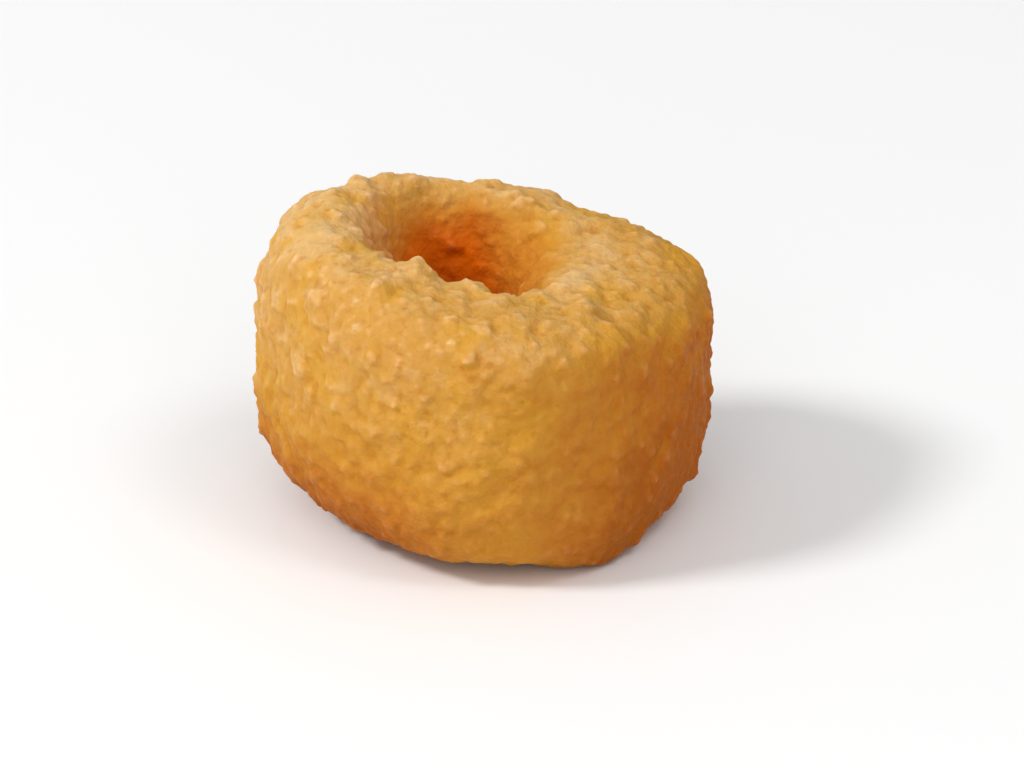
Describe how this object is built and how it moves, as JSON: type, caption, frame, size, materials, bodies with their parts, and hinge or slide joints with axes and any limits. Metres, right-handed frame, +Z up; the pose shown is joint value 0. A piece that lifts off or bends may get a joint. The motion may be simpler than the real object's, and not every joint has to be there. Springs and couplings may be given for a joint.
{
  "type": "cheesy potato bite",
  "caption": "Crumbed and fried ring of cheesy potato with a hole through its middle, resting on its settled base.",
  "frame": {"origin": "middle of the bounding box in X and Y, on the table under the base", "axes": "+Z up, +X to the right and +Y away from the viewer as the front of the ring is seen"},
  "size_m": [0.0396, 0.0364, 0.0273],
  "materials": {
    "fried_crust": "matte"
  },
  "bodies": {
    "root": {"potato_ring": "fried_crust"}
  },
  "joints": []
}
